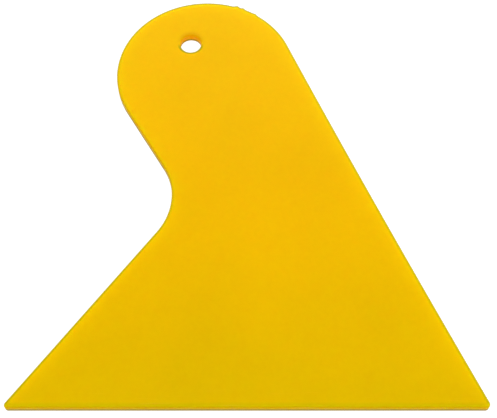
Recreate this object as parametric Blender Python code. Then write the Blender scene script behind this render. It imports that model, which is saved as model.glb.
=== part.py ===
"""Squeegee applicator: a flat plate moulded in one piece, with a straight working edge,
a rounded handle end, a finger notch in its left side and a hole to hang it by.

Run with: blender --background --python part.py
"""

import math

import bmesh
import bpy
from mathutils import Matrix, Vector

# Driving dimensions, in metres and degrees. The outline is drawn with +X along the working
# edge and +Y towards the handle, from the left end of the working edge before its rounding.
OBJECT_NAME = "squeegee_applicator"
EDGE_LENGTH = 0.1243
PLATE_THICKNESS = 0.0028
RIM_RADIUS = 0.0006
LEFT_SIDE_SLOPE = 53.4
NECK_SLOPE = 59.4
RIGHT_SIDE_RADIUS = 4.5
HANDLE_RADIUS = 0.0266
HANDLE_CENTRE = Vector((0.0499, 0.1043))
NOTCH_RADIUS = 0.0191
LEFT_CORNER_RADIUS = 0.0009
RIGHT_CORNER_RADIUS = 0.0011
HANG_HOLE_RADIUS = 0.0031
HANG_HOLE_CENTRE = Vector((0.0451, 0.1149))

# How finely the round stretches are faceted.
ARC_STEP = math.radians(5.0)
SIDE_STEP = math.radians(0.2)
RIM_STEPS = 2

FULL_TURN = 2.0 * math.pi
QUARTER_TURN = 0.5 * math.pi
WELD_DISTANCE = 0.000005

PLATE_COLOUR = (0.905, 0.503, 0.003, 1.0)
PLATE_ROUGHNESS = 0.45
PLATE_METALLIC = 0.0


def remove_objects():
    """Empty the scene that the script starts in."""
    for item in list(bpy.data.objects):
        bpy.data.objects.remove(item, do_unlink=True)


def direction(angle):
    """The unit vector at this angle from +X."""
    return Vector((math.cos(angle), math.sin(angle)))


def heading(vector):
    """The angle of a vector from +X."""
    return math.atan2(vector.y, vector.x)


def arc(centre, radius, start, end, step=ARC_STEP):
    """Points along an arc, both ends included; it turns clockwise where end is below start."""
    count = max(2, math.ceil(abs(end - start) / step))
    angles = [start + (end - start) * index / count for index in range(count + 1)]
    return [centre + radius * direction(angle) for angle in angles]


def point_at_distances(normal_a, distance_a, normal_b, distance_b):
    """The point this far out from the outline's start along each of two directions."""
    return Matrix((normal_a, normal_b)).inverted() @ Vector((distance_a, distance_b))


def right_side_centre():
    """Centre of the shallow hollow curve that touches the handle and ends at the right corner."""
    corner = Vector((EDGE_LENGTH, 0.0))
    to_handle = HANDLE_CENTRE - corner
    span = to_handle.length
    reach = RIGHT_SIDE_RADIUS + HANDLE_RADIUS
    along = (RIGHT_SIDE_RADIUS ** 2 - reach ** 2 + span ** 2) / (2.0 * span)
    across = math.sqrt(RIGHT_SIDE_RADIUS ** 2 - along ** 2)
    forward = to_handle.normalized()
    outward = Vector((forward.y, -forward.x))
    return corner + along * forward + across * outward


def right_corner_centre(side_centre):
    """Centre of the rounding between the working edge and the right side."""
    reach = RIGHT_SIDE_RADIUS + RIGHT_CORNER_RADIUS
    rise = side_centre.y - RIGHT_CORNER_RADIUS
    return Vector((side_centre.x - math.sqrt(reach ** 2 - rise ** 2), RIGHT_CORNER_RADIUS))


def plate_outline():
    """The plate's edge, anticlockwise from the right end of the working edge."""
    down = -QUARTER_TURN
    left_side_normal = QUARTER_TURN + math.radians(LEFT_SIDE_SLOPE)
    neck_normal = 3.0 * QUARTER_TURN - math.radians(NECK_SLOPE)

    side_centre = right_side_centre()
    corner_centre = right_corner_centre(side_centre)
    side_start = heading(corner_centre - side_centre) % FULL_TURN
    side_end = heading(HANDLE_CENTRE - side_centre) % FULL_TURN
    points = arc(corner_centre, RIGHT_CORNER_RADIUS, down, side_start - math.pi)
    points += arc(side_centre, RIGHT_SIDE_RADIUS, side_start, side_end, SIDE_STEP)[1:]

    points += arc(HANDLE_CENTRE, HANDLE_RADIUS, side_end - math.pi, neck_normal)[1:]

    neck = direction(neck_normal)
    left_side = direction(left_side_normal)
    neck_distance = HANDLE_CENTRE.dot(neck) + HANDLE_RADIUS
    notch_centre = point_at_distances(neck, neck_distance + NOTCH_RADIUS, left_side, NOTCH_RADIUS)
    points += arc(notch_centre, NOTCH_RADIUS, neck_normal - math.pi, left_side_normal - math.pi)

    left_centre = point_at_distances(left_side, -LEFT_CORNER_RADIUS, direction(down), -LEFT_CORNER_RADIUS)
    points += arc(left_centre, LEFT_CORNER_RADIUS, left_side_normal, down + FULL_TURN)
    return points


def hole_outline():
    """The hang hole's edge; its last point would repeat the first and is left out."""
    return arc(HANG_HOLE_CENTRE, HANG_HOLE_RADIUS, 0.0, FULL_TURN)[:-1]


def base_centre(points):
    """Middle of the box around the outline, which becomes the part's origin."""
    xs = [point.x for point in points]
    ys = [point.y for point in points]
    return Vector((min(xs) + max(xs), min(ys) + max(ys))) / 2.0


def add_closed_spline(curve, points, origin):
    """Add one closed run of straight pieces, moved so that the origin is at zero."""
    spline = curve.splines.new("POLY")
    spline.points.add(len(points) - 1)
    for spline_point, point in zip(spline.points, points):
        x, y = point - origin
        spline_point.co = (x, y, 0.0, 1.0)
    spline.use_cyclic_u = True


def plate_curve():
    """The flat outline with its hole, extruded, with a small rounding along every rim."""
    outline = plate_outline()
    origin = base_centre(outline)
    curve = bpy.data.curves.new("plate_outline", "CURVE")
    curve.dimensions = "2D"
    curve.fill_mode = "BOTH"
    curve.extrude = PLATE_THICKNESS / 2.0 - RIM_RADIUS
    curve.bevel_depth = RIM_RADIUS
    curve.bevel_resolution = RIM_STEPS
    curve.offset = -RIM_RADIUS
    add_closed_spline(curve, outline, origin)
    add_closed_spline(curve, hole_outline(), origin)
    return curve


def welded_mesh(curve_object, name):
    """A mesh of the curve as Blender evaluates it, with its caps joined to its walls."""
    evaluated = curve_object.evaluated_get(bpy.context.evaluated_depsgraph_get())
    mesh = bpy.data.meshes.new_from_object(evaluated)
    mesh.name = name
    welded = bmesh.new()
    welded.from_mesh(mesh)
    bmesh.ops.remove_doubles(welded, verts=welded.verts, dist=WELD_DISTANCE)
    bmesh.ops.recalc_face_normals(welded, faces=welded.faces)
    welded.to_mesh(mesh)
    welded.free()
    return mesh


def plate_material():
    """Satin yellow plastic, coloured all the way through."""
    material = bpy.data.materials.new("yellow_plastic")
    material.use_nodes = True
    shader = material.node_tree.nodes["Principled BSDF"]
    shader.inputs["Base Color"].default_value = PLATE_COLOUR
    shader.inputs["Roughness"].default_value = PLATE_ROUGHNESS
    shader.inputs["Metallic"].default_value = PLATE_METALLIC
    material.diffuse_color = PLATE_COLOUR
    return material


def build_plate(collection):
    """The whole tool: one moulded plate lying on its back face."""
    curve_object = bpy.data.objects.new("plate_outline", plate_curve())
    curve_object.location.z = PLATE_THICKNESS / 2.0
    collection.objects.link(curve_object)
    bpy.context.view_layer.update()

    mesh = welded_mesh(curve_object, "squeegee_plate")
    mesh.materials.clear()
    mesh.materials.append(plate_material())
    mesh.shade_smooth()
    mesh.set_sharp_from_angle(angle=math.radians(30.0))

    plate = bpy.data.objects.new("squeegee_plate", mesh)
    collection.objects.link(plate)
    plate.matrix_world = curve_object.matrix_world
    bpy.data.objects.remove(curve_object, do_unlink=True)


def main():
    remove_objects()
    collection = bpy.data.collections.new(OBJECT_NAME)
    bpy.context.scene.collection.children.link(collection)
    build_plate(collection)


main()
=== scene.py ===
import math

import bmesh
import bpy
from mathutils import Matrix, Vector
from mathutils.bvhtree import BVHTree


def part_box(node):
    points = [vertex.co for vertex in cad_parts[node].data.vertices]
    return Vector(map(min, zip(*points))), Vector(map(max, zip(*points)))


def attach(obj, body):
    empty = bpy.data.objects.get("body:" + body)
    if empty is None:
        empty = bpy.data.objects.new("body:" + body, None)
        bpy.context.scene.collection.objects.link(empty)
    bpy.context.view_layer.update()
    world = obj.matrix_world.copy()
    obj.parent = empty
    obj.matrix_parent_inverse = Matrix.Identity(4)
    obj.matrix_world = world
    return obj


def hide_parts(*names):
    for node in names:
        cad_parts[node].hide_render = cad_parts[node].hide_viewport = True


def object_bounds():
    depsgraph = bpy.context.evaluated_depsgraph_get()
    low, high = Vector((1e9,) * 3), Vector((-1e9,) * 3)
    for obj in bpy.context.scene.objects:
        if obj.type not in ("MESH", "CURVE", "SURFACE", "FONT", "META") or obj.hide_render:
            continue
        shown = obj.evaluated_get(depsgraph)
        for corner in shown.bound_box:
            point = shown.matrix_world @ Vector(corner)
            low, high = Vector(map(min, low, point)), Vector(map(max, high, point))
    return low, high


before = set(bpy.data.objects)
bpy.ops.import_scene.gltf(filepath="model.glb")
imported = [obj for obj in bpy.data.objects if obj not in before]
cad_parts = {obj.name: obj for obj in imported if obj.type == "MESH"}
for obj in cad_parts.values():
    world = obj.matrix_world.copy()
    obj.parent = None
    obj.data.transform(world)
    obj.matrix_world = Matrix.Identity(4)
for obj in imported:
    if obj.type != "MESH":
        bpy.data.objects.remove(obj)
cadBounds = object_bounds()

fullTurn = 2.0 * math.pi
quarterTurn = 0.5 * math.pi
millimetre = 0.001

# The plate is drawn from the left end of its working edge, before that corner is rounded.
plate = {
    "edgeLength": 124.3 * millimetre,
    "leftSlope": math.radians(53.4),
    "neckSlope": math.radians(59.4),
    "sideRadius": 4500.0 * millimetre,  # the right side is very slightly hollow
    "handleRadius": 26.6 * millimetre,
    "handleCentre": Vector((49.9, 104.3)) * millimetre,
    "notchRadius": 19.1 * millimetre,
    "leftCorner": 0.9 * millimetre,
    "rightCorner": 1.1 * millimetre,
    "holeRadius": 3.1 * millimetre,
    "holeCentre": Vector((45.1, 114.9)) * millimetre,
    "holeSides": 96,
    "rimRadius": 0.6 * millimetre,
    "rimSegments": 7,
    "flatRing": 0.2 * millimetre,  # keeps the rim's shading off the flat faces
    "cell": 1.25 * millimetre,  # spacing of the cuts across both faces
    "snap": 0.005 * millimetre,  # points this near to a cut are left on it
    "weld": 0.02 * millimetre,
    "cornerStep": math.radians(6.0),
    "sideStep": math.radians(0.1),
    "handleStep": math.radians(0.75),
    "notchStep": math.radians(1.5),
}

# Rough stubs left where the moulding gate was trimmed: (angle on the handle, height, half width).
gate = {
    "stubs": [
        (math.radians(69.6), 0.46 * millimetre, math.radians(1.5)),
        (math.radians(65.5), 0.38 * millimetre, math.radians(1.1)),
        (math.radians(56.3), 0.22 * millimetre, math.radians(0.9)),
    ],
    "landStart": math.radians(54.0),
    "landEnd": math.radians(73.0),
    "landHeight": 0.12 * millimetre,
    "landFade": math.radians(1.5),
    "tolerance": 0.01 * millimetre,  # how near to the handle's circle a point of its edge lies
}

# How upright a normal is, as the size of its Z.
wallTilt = 0.1
faceTilt = 0.9
flatTilt = 0.999


# ---- outline ----

def direction(angle):
    return Vector((math.cos(angle), math.sin(angle)))


def heading(vector):
    return math.atan2(vector.y, vector.x)


def crossing(normalA, distanceA, normalB, distanceB):
    # the point this far from the start along each of two directions
    return Matrix((normalA, normalB)).inverted() @ Vector((distanceA, distanceB))


def straightTo(bm, vert, target):
    end = bmesh.ops.extrude_vert_indiv(bm, verts=[vert])["verts"][0]
    end.co = target.to_3d()
    return end


def arcBy(bm, vert, centre, sweep, step):
    turn = bmesh.ops.spin(
        bm,
        geom=[vert],
        cent=centre.to_3d(),
        axis=(0.0, 0.0, 1.0),
        angle=sweep,
        steps=max(2, math.ceil(abs(sweep) / step)),
    )
    return [item for item in turn["geom_last"] if isinstance(item, bmesh.types.BMVert)][0]


def sideCurveCentre(shape):
    # the hollow right side touches the handle's circle and passes the right corner
    corner = Vector((shape["edgeLength"], 0.0))
    toHandle = shape["handleCentre"] - corner
    reach = shape["sideRadius"] + shape["handleRadius"]
    along = (shape["sideRadius"] ** 2 - reach ** 2 + toHandle.length_squared) / (2.0 * toHandle.length)
    across = math.sqrt(shape["sideRadius"] ** 2 - along ** 2)
    forward = toHandle.normalized()
    return corner + along * forward + across * Vector((forward.y, -forward.x))


def drawOutline(bm, shape):
    down = direction(-quarterTurn)
    leftNormal = quarterTurn + shape["leftSlope"]
    neckNormal = 3.0 * quarterTurn - shape["neckSlope"]
    leftSide = direction(leftNormal)
    neck = direction(neckNormal)

    leftCentre = crossing(leftSide, -shape["leftCorner"], down, -shape["leftCorner"])
    sideCentre = sideCurveCentre(shape)
    reach = shape["sideRadius"] + shape["rightCorner"]
    rise = sideCentre.y - shape["rightCorner"]
    rightCentre = Vector((sideCentre.x - math.sqrt(reach ** 2 - rise ** 2), shape["rightCorner"]))
    sideStart = heading(rightCentre - sideCentre) % fullTurn
    sideEnd = heading(shape["handleCentre"] - sideCentre) % fullTurn
    handleStart = sideEnd - math.pi
    neckDistance = shape["handleCentre"].dot(neck) + shape["handleRadius"]
    notchCentre = crossing(neck, neckDistance + shape["notchRadius"], leftSide, shape["notchRadius"])

    vert = bm.verts.new((leftCentre.x, 0.0, 0.0))
    vert = straightTo(bm, vert, Vector((rightCentre.x, 0.0)))
    vert = arcBy(bm, vert, rightCentre, sideStart - math.pi + quarterTurn, shape["cornerStep"])
    vert = arcBy(bm, vert, sideCentre, sideEnd - sideStart, shape["sideStep"])
    vert = arcBy(bm, vert, shape["handleCentre"], neckNormal - handleStart, shape["handleStep"])
    vert = straightTo(bm, vert, notchCentre - shape["notchRadius"] * neck)
    vert = arcBy(bm, vert, notchCentre, leftNormal - neckNormal, shape["notchStep"])
    vert = straightTo(bm, vert, leftCentre + shape["leftCorner"] * leftSide)
    arcBy(bm, vert, leftCentre, 3.0 * quarterTurn - leftNormal, shape["cornerStep"])
    bmesh.ops.remove_doubles(bm, verts=bm.verts, dist=shape["weld"])


def smoothStep(low, high, value):
    share = min(max((value - low) / (high - low), 0.0), 1.0)
    return share * share * (3.0 - 2.0 * share)


def raiseGate(bm, shape, marks):
    # push the handle's edge out a little where the gate was
    for vert in bm.verts:
        spoke = vert.co.to_2d() - shape["handleCentre"]
        if abs(spoke.length - shape["handleRadius"]) > marks["tolerance"]:
            continue
        angle = heading(spoke)
        fade = marks["landFade"]
        land = smoothStep(marks["landStart"], marks["landStart"] + fade, angle)
        land *= 1.0 - smoothStep(marks["landEnd"] - fade, marks["landEnd"], angle)
        height = land * marks["landHeight"]
        for place, stubHeight, halfWidth in marks["stubs"]:
            height += stubHeight * math.exp(-(((angle - place) / halfWidth) ** 2))
        vert.co += (height * spoke.normalized()).to_3d()


# ---- plate ----

def fillPlate(bm, shape):
    # the outline and the hole's circle, filled as one flat sheet
    bmesh.ops.create_circle(
        bm,
        cap_ends=False,
        radius=shape["holeRadius"],
        segments=shape["holeSides"],
        matrix=Matrix.Translation(shape["holeCentre"].to_3d()),
    )
    bmesh.ops.triangle_fill(bm, use_beauty=False, use_dissolve=True, edges=bm.edges, normal=(0.0, 0.0, 1.0))


def isRim(edge):
    # whether this edge joins a wall to a face
    tilts = sorted(abs(face.normal.z) for face in edge.link_faces)
    return len(tilts) == 2 and tilts[0] < wallTilt and tilts[1] > faceTilt


def thickenPlate(bm, shape, thickness):
    raised = bmesh.ops.extrude_face_region(bm, geom=bm.faces[:], use_keep_orig=True)
    top = [item for item in raised["geom"] if isinstance(item, bmesh.types.BMVert)]
    bmesh.ops.translate(bm, verts=top, vec=(0.0, 0.0, thickness))
    bmesh.ops.recalc_face_normals(bm, faces=bm.faces)
    bm.normal_update()
    bmesh.ops.bevel(
        bm,
        geom=[edge for edge in bm.edges if isRim(edge)],
        offset=shape["rimRadius"],
        offset_type="OFFSET",
        affect="EDGES",
        segments=shape["rimSegments"],
        profile=0.5,
        material=-1,
        clamp_overlap=False,
    )
    bm.normal_update()
    flats = [face for face in bm.faces if abs(face.normal.z) > flatTilt]
    bmesh.ops.inset_region(bm, faces=flats, thickness=shape["flatRing"], use_even_offset=True)


def sliceAlong(bm, shape, axis, low, high):
    # parallel cuts, so that both faces become a grid trimmed by the outline
    count = math.ceil((high - low) / shape["cell"])
    normal = Vector((0.0, 0.0, 0.0))
    normal[axis] = 1.0
    for index in range(1, count):
        place = normal * (low + (high - low) * index / count)
        everything = bm.verts[:] + bm.edges[:] + bm.faces[:]
        bmesh.ops.bisect_plane(bm, geom=everything, dist=shape["snap"], plane_co=place, plane_no=normal)


def rimDetails(bm, shape, height, hole):
    # for each point, how far in plan the nearest outer wall is, and how far that wall faces the handle end
    walls = bm.copy()
    unwanted = []
    for face in walls.faces:
        inHole = (face.calc_center_median().to_2d() - hole).length < 2.0 * shape["holeRadius"]
        if abs(face.normal.z) > wallTilt or inHole:
            unwanted.append(face)
    bmesh.ops.delete(walls, geom=unwanted, context="FACES")
    tree = BVHTree.FromBMesh(walls)
    walls.free()
    nearest = [tree.find_nearest((vert.co.x, vert.co.y, height)) for vert in bm.verts]
    return [found[3] for found in nearest], [found[1].y for found in nearest]


def storeValues(mesh, name, values):
    mesh.attributes.new(name, "FLOAT", "POINT").data.foreach_set("value", values)


def settle(bm, low, high, hole):
    # exactly over the CAD plate, whose coarser facets make it a hair shorter
    start = Vector(min(vert.co[axis] for vert in bm.verts) for axis in range(3))
    end = Vector(max(vert.co[axis] for vert in bm.verts) for axis in range(3))
    scale = Vector((high[axis] - low[axis]) / (end[axis] - start[axis]) for axis in range(3))
    bmesh.ops.translate(bm, verts=bm.verts, vec=-start)
    bmesh.ops.scale(bm, verts=bm.verts, vec=scale)
    bmesh.ops.translate(bm, verts=bm.verts, vec=low)
    newHole = (hole.to_3d() - start) * scale + low
    return newHole.to_2d()


def makePlate(shape, marks):
    low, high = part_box("squeegee_plate")
    bm = bmesh.new()
    drawOutline(bm, shape)
    raiseGate(bm, shape, marks)
    fillPlate(bm, shape)
    thickenPlate(bm, shape, high.z - low.z)
    hole = settle(bm, low, high, shape["holeCentre"])
    sliceAlong(bm, shape, 0, low.x, high.x)
    sliceAlong(bm, shape, 1, low.y, high.y)
    distances, facings = rimDetails(bm, shape, (low.z + high.z) / 2.0, hole)

    mesh = bpy.data.meshes.new("applicatorPlate")
    bm.to_mesh(mesh)
    bm.free()
    mesh.shade_smooth()
    storeValues(mesh, "rimDistance", distances)
    storeValues(mesh, "rimFacing", facings)
    piece = bpy.data.objects.new("applicatorPlate", mesh)
    bpy.context.scene.collection.objects.link(piece)
    return piece, hole


# ---- materials ----

def newMaterial(name):
    material = bpy.data.materials.new(name)
    material.use_nodes = True
    return material, material.node_tree, material.node_tree.nodes["Principled BSDF"]


def addNode(tree, kind, values=None, **settings):
    node = tree.nodes.new(kind)
    for key, value in settings.items():
        setattr(node, key, value)
    for key, value in (values or {}).items():
        node.inputs[key].default_value = value
    return node


def addRange(tree, value, fromLow, fromHigh, toLow, toHigh, kind="LINEAR"):
    limits = {"From Min": fromLow, "From Max": fromHigh, "To Min": toLow, "To Max": toHigh}
    node = addNode(tree, "ShaderNodeMapRange", limits, interpolation_type=kind)
    tree.links.new(value, node.inputs["Value"])
    return node.outputs["Result"]


def addNoise(tree, coordinates, scale, detail):
    node = addNode(tree, "ShaderNodeTexNoise", {"Scale": scale, "Detail": detail})
    tree.links.new(coordinates, node.inputs["Vector"])
    return node.outputs["Fac"]


def addCloud(tree, coordinates, scale, detail, low=0.0, high=1.0):
    # noise with its usual span stretched between two values
    noiseLow = 0.3
    noiseHigh = 0.7
    return addRange(tree, addNoise(tree, coordinates, scale, detail), noiseLow, noiseHigh, low, high)


def addMath(tree, operation, first, second=0.0):
    node = addNode(tree, "ShaderNodeMath", operation=operation)
    for socket, value in zip(node.inputs, (first, second)):
        if isinstance(value, float):
            socket.default_value = value
        else:
            tree.links.new(value, socket)
    return node.outputs["Value"]


def addMix(tree, factor, first, second, blend="MIX"):
    node = addNode(tree, "ShaderNodeMix", data_type="RGBA", blend_type=blend)
    for key, value in (("Factor_Float", factor), ("A_Color", first), ("B_Color", second)):
        socket = [item for item in node.inputs if item.identifier == key][0]
        if isinstance(value, (float, tuple)):
            socket.default_value = value
        else:
            tree.links.new(value, socket)
    return [item for item in node.outputs if item.identifier == "Result_Color"][0]


def addBump(tree, height, depth, normal=None, invert=False):
    node = addNode(tree, "ShaderNodeBump", {"Strength": 1.0, "Distance": depth}, invert=invert)
    tree.links.new(height, node.inputs["Height"])
    if normal:
        tree.links.new(normal, node.inputs["Normal"])
    return node.outputs["Normal"]


def radiusFrom(tree, place, centre):
    # distance in plan from a point, for rings and spots
    values = {"Location": (-centre.x, -centre.y, 0.0), "Scale": (1.0, 1.0, 0.0)}
    centred = addNode(tree, "ShaderNodeMapping", values)
    tree.links.new(place, centred.inputs["Vector"])
    length = addNode(tree, "ShaderNodeVectorMath", operation="LENGTH")
    tree.links.new(centred.outputs["Vector"], length.inputs[0])
    return length.outputs["Value"]


# ---- yellow plastic, one layer at a time ----

# painted shade: the walls' darker tone and the hole wall's orange tone stand in for the shade that falls on
# them
walls = {
    "tone": (0.60, 0.340, 0.0005, 1.0),
    "share": 0.7,
    "depth": 0.35 * millimetre,  # how far in from the outline the wall's painted shade reaches
    "holeShadeTone": (0.83, 0.440, 0.0005, 1.0),
    "holeRadius": 3.2 * millimetre,
}


def readSurface(tree, hole):
    # the sockets that the layers share
    place = addNode(tree, "ShaderNodeTexCoord").outputs["Object"]
    split = addNode(tree, "ShaderNodeSeparateXYZ")
    tree.links.new(place, split.inputs["Vector"])
    rim = addNode(tree, "ShaderNodeAttribute", attribute_name="rimDistance").outputs["Fac"]
    facing = addNode(tree, "ShaderNodeAttribute", attribute_name="rimFacing").outputs["Fac"]
    radius = radiusFrom(tree, place, hole)
    return {
        "place": place,
        "y": split.outputs["Y"],
        "z": split.outputs["Z"],
        "rim": rim,
        "facing": facing,
        "radius": radius,
        "wall": addRange(tree, rim, 0.5 * walls["depth"], walls["depth"], 1.0, 0.0),
        "bore": addRange(tree, radius, walls["holeRadius"], walls["holeRadius"] + walls["depth"], 1.0, 0.0),
    }


# painted shade: the lighter tone towards the handle and the darker one at the working edge copy how the light
# falls off across the plate
body = {
    "handleLitTone": (0.79, 0.520, 0.0005, 1.0),
    "workingShadeTone": (0.70, 0.543, 0.0005, 1.0),
    "edgeShadeTone": (0.61, 0.520, 0.0005, 1.0),
    "edgeShadeBand": 1.6 * millimetre,
}

# painted light: a lighter, yellower tone near the rims that face the key light
paintedRimLight = {
    "tone": (0.87, 0.650, 0.0005, 1.0),
    "depth": 2.6 * millimetre,
    "share": 0.55,
    "start": 9.0 * millimetre,  # it grows to its full share over this distance from the working edge
    "faintShare": 0.2,
    "faintFacing": -0.8,  # rims turned this far towards the working edge have the faint share of it
    "fullFacing": 0.4,
}


def addPaintedRimLight(tree, tone, surface, low):
    # painted light: the base colour is lighter near the rims, most on those facing the handle end, for light
    # that gathers in the slightly clear plastic
    fall = addMath(tree, "EXPONENT", addMath(tree, "DIVIDE", surface["rim"], -paintedRimLight["depth"]))
    turn = addRange(tree, surface["facing"], paintedRimLight["faintFacing"], paintedRimLight["fullFacing"], paintedRimLight["faintShare"], 1.0)
    away = addRange(tree, surface["y"], low.y, low.y + paintedRimLight["start"], 0.0, paintedRimLight["share"], "SMOOTHSTEP")
    gathered = addMath(tree, "MULTIPLY", addMath(tree, "MULTIPLY", fall, turn), away)
    return addMix(tree, gathered, tone, paintedRimLight["tone"])


def makeBody(tree, surface, low, high):
    # painted shade: the tone darkens slowly from the middle towards the working edge, and a darker, greener
    # band is painted at the edge itself
    rise = addRange(tree, surface["y"], low.y, (low.y + high.y) / 2.0, 0.0, 1.0)
    tone = addMix(tree, rise, body["workingShadeTone"], body["handleLitTone"])
    tone = addPaintedRimLight(tree, tone, surface, low)
    bandEnd = low.y + body["edgeShadeBand"]
    band = addRange(tree, surface["y"], low.y + 0.5 * body["edgeShadeBand"], bandEnd, 1.0, 0.0)
    return addMix(tree, band, tone, body["edgeShadeTone"])


# painted shade: a darker spot just above the hole, where its rounded rim and far wall lie in shade
paintedHoleShade = {
    "tone": (0.66, 0.340, 0.0005, 1.0),
    "share": 0.6,
    "rise": 0.9 * millimetre,  # its middle is this far above the hole's
    "start": 2.8 * millimetre,
    "end": 4.4 * millimetre,
}


def addWallShade(tree, tone, surface, hole):
    # painted shade: the walls are painted darker than the faces, the plate is painted darker just above the
    # hole, and the hole's wall is painted a deeper orange
    tone = addMix(tree, addMath(tree, "MULTIPLY", surface["wall"], walls["share"]), tone, walls["tone"])
    spot = radiusFrom(tree, surface["place"], hole + Vector((0.0, paintedHoleShade["rise"])))
    spot = addRange(tree, spot, paintedHoleShade["start"], paintedHoleShade["end"], paintedHoleShade["share"], 0.0, "SMOOTHSTEP")
    tone = addMix(tree, spot, tone, paintedHoleShade["tone"])
    return addMix(tree, surface["bore"], tone, walls["holeShadeTone"])


# painted shade: a dark line on the rounded rims and around the hole, and darker feet along the bottom of the
# walls
paintedShade = {
    "lineTone": (0.25, 0.255, 0.0020, 1.0),
    "lineShare": 0.75,
    "lineDepth": 0.5 * millimetre,
    "unshadedFacing": -0.5,  # rims turned this far towards the working edge have no line
    "ringStart": 3.7 * millimetre,
    "ringEnd": 4.1 * millimetre,
    "ringFade": 1.5 * millimetre,
    "wallShare": 0.35,  # the line is gone this far from the middle of a wall, as a share of half its height
    "rimShare": 0.6,  # and whole this far
    "footTone": (0.25, 0.180, 0.0020, 1.0),
    "footShare": 0.65,
    "footHeight": 2.0 * millimetre,
    "holeFootHeight": 1.4 * millimetre,
    "footSolid": 0.6,  # the share of a foot's height below its fade
}


def shadedRimLine(tree, surface, low, high, hole):
    # painted shade: a fine dark line on both rims of the outline, strongest at the handle end, and around the
    # hole's rims on the side of the working edge
    line = addRange(tree, surface["rim"], paintedShade["lineDepth"], 2.0 * paintedShade["lineDepth"], 1.0, 0.0)
    turn = addRange(tree, surface["facing"], paintedShade["unshadedFacing"], 1.0, 0.0, 1.0)
    line = addMath(tree, "MULTIPLY", line, turn)
    ring = addRange(tree, surface["radius"], paintedShade["ringStart"], paintedShade["ringEnd"], 1.0, 0.0)
    below = addRange(tree, surface["y"], hole.y - paintedShade["ringFade"], hole.y, 1.0, 0.0)
    line = addMath(tree, "MAXIMUM", line, addMath(tree, "MULTIPLY", ring, below))
    middle = (low.z + high.z) / 2.0
    half = high.z - middle
    outward = addMath(tree, "ABSOLUTE", addMath(tree, "SUBTRACT", surface["z"], middle))
    rims = addRange(tree, outward, paintedShade["wallShare"] * half, paintedShade["rimShare"] * half, 0.0, 1.0)
    return addMath(tree, "MULTIPLY", line, rims)


def shadedFoot(tree, surface, low, wall, height):
    # painted shade along the bottom of a wall, fading out over its upper part
    band = addRange(tree, surface["z"], low.z + paintedShade["footSolid"] * height, low.z + height, 1.0, 0.0)
    return addMath(tree, "MULTIPLY", band, wall)


def addPaintedShade(tree, tone, surface, low, high, hole):
    # returns the new tone, and how much the painted shade covers
    line = shadedRimLine(tree, surface, low, high, hole)
    tone = addMix(tree, addMath(tree, "MULTIPLY", line, paintedShade["lineShare"]), tone, paintedShade["lineTone"])
    foot = shadedFoot(tree, surface, low, surface["wall"], paintedShade["footHeight"])
    holeFoot = shadedFoot(tree, surface, low, surface["bore"], paintedShade["holeFootHeight"])
    foot = addMath(tree, "MAXIMUM", foot, holeFoot)
    tone = addMix(tree, addMath(tree, "MULTIPLY", foot, paintedShade["footShare"]), tone, paintedShade["footTone"])
    return tone, addMath(tree, "MAXIMUM", line, foot)


pigment = {
    "cloudScale": 24.0,
    "cloudDetail": 3.0,
    "darkTint": (0.955, 0.97, 1.0, 1.0),
    "lightTint": (1.03, 1.02, 1.0, 1.0),
    "speckScale": 900.0,
    "speckDetail": 2.0,
    "speckDark": 0.985,
    "speckLight": 1.012,
}


def addPigment(tree, tone, surface):
    # cloudy colour and fine specks from uneven pigment
    cloud = addCloud(tree, surface["place"], pigment["cloudScale"], pigment["cloudDetail"])
    shade = addMix(tree, cloud, pigment["darkTint"], pigment["lightTint"])
    tone = addMix(tree, 1.0, tone, shade, "MULTIPLY")
    scale = pigment["speckScale"]
    detail = pigment["speckDetail"]
    speck = addCloud(tree, surface["place"], scale, detail, pigment["speckDark"], pigment["speckLight"])
    return addMix(tree, 1.0, tone, speck, "MULTIPLY")


scuffs = {
    "tone": (0.92, 0.66, 0.10, 1.0),
    "share": 0.12,
    "stretch": (90.0, 2200.0, 2200.0),
    "turn": (0.0, 0.0, 0.35),
    "detail": 2.0,
    "start": 0.62,
    "full": 0.70,
    "workDepth": 7.0 * millimetre,
    "faceShare": 0.05,
    "rimDepth": 0.8 * millimetre,
    "rimShare": 0.35,
    "roughening": 0.15,
    "cutDepth": 0.01 * millimetre,
}


def scuffWear(tree, surface, low):
    # fine scratches along the working edge and the rims, and a very few on the faces
    stretch = addNode(tree, "ShaderNodeMapping", {"Scale": scuffs["stretch"], "Rotation": scuffs["turn"]})
    tree.links.new(surface["place"], stretch.inputs["Vector"])
    scratch = addNoise(tree, stretch.outputs["Vector"], 1.0, scuffs["detail"])
    scratch = addRange(tree, scratch, scuffs["start"], scuffs["full"], 0.0, 1.0)
    nearWork = addRange(tree, surface["y"], low.y, low.y + scuffs["workDepth"], 1.0, scuffs["faceShare"])
    nearRim = addRange(tree, surface["rim"], 0.0, scuffs["rimDepth"], scuffs["rimShare"], 0.0)
    return addMath(tree, "MULTIPLY", addMath(tree, "MAXIMUM", nearRim, nearWork), scratch)


finish = {
    "roughness": 0.46,
    "roughnessSpread": 0.05,
    "satinScale": 140.0,
    "satinDetail": 3.0,
    "grainScale": 2600.0,
    "grainDepth": 0.006 * millimetre,
    "waveScale": 60.0,
    "waveDepth": 0.05 * millimetre,
    "bumpDetail": 2.0,
    "specular": 0.05,
    "specularTint": (1.0, 0.62, 0.0, 1.0),
    "lightReach": 6.0 * millimetre,
    "lightColours": (1.0, 0.6, 0.05),
}


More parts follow.
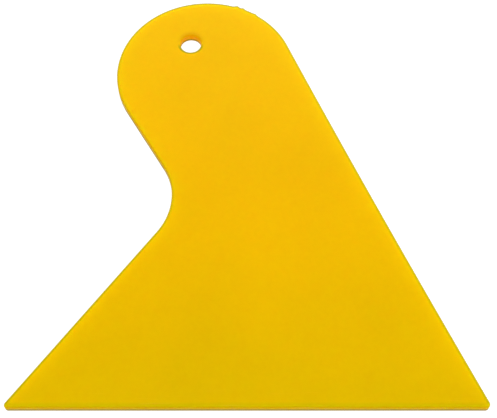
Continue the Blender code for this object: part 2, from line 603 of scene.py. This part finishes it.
def addFinish(tree, shader, surface, wear, shadeCover):
    place = surface["place"]
    smoothest = finish["roughness"] - finish["roughnessSpread"]
    roughest = finish["roughness"] + finish["roughnessSpread"]
    satin = addCloud(tree, place, finish["satinScale"], finish["satinDetail"], smoothest, roughest)
    satin = addMath(tree, "ADD", satin, addMath(tree, "MULTIPLY", wear, scuffs["roughening"]))
    tree.links.new(satin, shader.inputs["Roughness"])

    grain = addNoise(tree, place, finish["grainScale"], finish["bumpDetail"])
    wave = addNoise(tree, place, finish["waveScale"], finish["bumpDetail"])
    normal = addBump(tree, grain, finish["grainDepth"])
    normal = addBump(tree, wave, finish["waveDepth"], normal)
    normal = addBump(tree, wear, scuffs["cutDepth"], normal, True)
    tree.links.new(normal, shader.inputs["Normal"])

    shader.inputs["Specular IOR Level"].default_value = finish["specular"]
    shader.inputs["Specular Tint"].default_value = finish["specularTint"]
    # light passes through the plastic, except where the painted shade covers it
    clear = addRange(tree, shadeCover, 0.0, 1.0, 1.0, 0.0)
    tree.links.new(clear, shader.inputs["Subsurface Weight"])
    shader.inputs["Subsurface Radius"].default_value = finish["lightColours"]
    shader.inputs["Subsurface Scale"].default_value = finish["lightReach"]


def makePlastic(low, high, hole):
    material, tree, shader = newMaterial("yellowPlastic")
    surface = readSurface(tree, hole)
    tone = makeBody(tree, surface, low, high)
    tone = addWallShade(tree, tone, surface, hole)
    tone, shadeCover = addPaintedShade(tree, tone, surface, low, high, hole)
    tone = addPigment(tree, tone, surface)
    wear = scuffWear(tree, surface, low)
    tone = addMix(tree, addMath(tree, "MULTIPLY", wear, scuffs["share"]), tone, scuffs["tone"])
    tree.links.new(tone, shader.inputs["Base Color"])
    addFinish(tree, shader, surface, wear, shadeCover)
    return material


# ---- studio ----

paleFloor = {
    "size": 4.0,
    "gap": 0.05 * millimetre,
    "darkTone": (0.12, 0.12, 0.12, 1.0),
    "lightTone": (0.16, 0.16, 0.16, 1.0),
    "cloudScale": 6.0,
    "cloudDetail": 3.0,
    "roughness": 0.9,
    "specular": 0.1,
    "glowTone": (1.0, 1.0, 1.0, 1.0),  # lit from within, like a light table
    "glowStrength": 1.0,
}


def makeFloorMaterial():
    material, tree, shader = newMaterial("paleFloor")
    place = addNode(tree, "ShaderNodeTexCoord").outputs["Object"]
    cloud = addCloud(tree, place, paleFloor["cloudScale"], paleFloor["cloudDetail"])
    tone = addMix(tree, cloud, paleFloor["darkTone"], paleFloor["lightTone"])
    tree.links.new(tone, shader.inputs["Base Color"])
    shader.inputs["Roughness"].default_value = paleFloor["roughness"]
    shader.inputs["Specular IOR Level"].default_value = paleFloor["specular"]
    shader.inputs["Emission Color"].default_value = paleFloor["glowTone"]
    shader.inputs["Emission Strength"].default_value = paleFloor["glowStrength"]
    return material


def makeFloor(low):
    bm = bmesh.new()
    bmesh.ops.create_grid(bm, x_segments=2, y_segments=2, size=paleFloor["size"] / 2.0)
    bmesh.ops.translate(bm, verts=bm.verts, vec=(0.0, 0.0, low.z - paleFloor["gap"]))
    mesh = bpy.data.meshes.new("paleFloor")
    bm.to_mesh(mesh)
    bm.free()
    mesh.materials.append(makeFloorMaterial())
    floor = bpy.data.objects.new("paleFloor", mesh)
    bpy.context.scene.collection.objects.link(floor)


studio = {
    "worldTone": (1.0, 1.0, 1.0, 1.0),
    "worldStrength": 0.5,
    "keyPower": 10.5,
    "keySize": 0.8,
    "keyPlace": (0.05, 0.85, 0.60),
    "fillPower": 2.0,
    "fillSize": 0.6,
    "fillPlace": (0.55, -0.85, 0.22),
}


def makeWorld():
    world = bpy.data.worlds.new("softRoom")
    world.use_nodes = True
    background = world.node_tree.nodes["Background"]
    background.inputs["Color"].default_value = studio["worldTone"]
    background.inputs["Strength"].default_value = studio["worldStrength"]
    bpy.context.scene.world = world


def addSoftbox(name, place, size, power, target):
    light = bpy.data.lights.new(name, "AREA")
    light.shape = "SQUARE"
    light.size = size
    light.energy = power
    lamp = bpy.data.objects.new(name, light)
    lamp.location = place
    lamp.rotation_euler = (target - Vector(place)).to_track_quat("-Z", "Y").to_euler()
    bpy.context.scene.collection.objects.link(lamp)


view = {
    "distance": 0.300,
    "elevation": math.radians(60.79),
    "aimSide": 0.36 * millimetre,  # the aim is this far right of the plate's middle
    "aimBack": -6.60 * millimetre,  # and this far behind it, so nearer the working edge
    "lens": 77.41,
    "sensor": 36.0,
    "nearest": 0.01,
}


def makeCamera(low, high):
    middle = (low + high) / 2.0
    aim = Vector((middle.x + view["aimSide"], middle.y + view["aimBack"], low.z))
    back = Vector((0.0, -math.cos(view["elevation"]), math.sin(view["elevation"])))
    camera = bpy.data.cameras.new("camera")
    camera.lens = view["lens"]
    camera.sensor_width = view["sensor"]
    camera.clip_start = view["nearest"]
    rig = bpy.data.objects.new("camera", camera)
    rig.location = aim + view["distance"] * back
    rig.rotation_euler = (-back).to_track_quat("-Z", "Y").to_euler()
    bpy.context.scene.collection.objects.link(rig)
    bpy.context.scene.camera = rig


cadLow, cadHigh = (Vector(corner) for corner in cadBounds)

print("plate")
applicator, hole = makePlate(plate, gate)
applicator.data.materials.append(makePlastic(cadLow, cadHigh, hole))
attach(applicator, "root")
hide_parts("squeegee_plate")

print("studio")
makeFloor(cadLow)
makeWorld()
plateMiddle = (cadLow + cadHigh) / 2.0
addSoftbox("keyLight", studio["keyPlace"], studio["keySize"], studio["keyPower"], plateMiddle)
addSoftbox("fillLight", studio["fillPlace"], studio["fillSize"], studio["fillPower"], plateMiddle)
makeCamera(cadLow, cadHigh)
bpy.context.scene.view_settings.view_transform = "Standard"
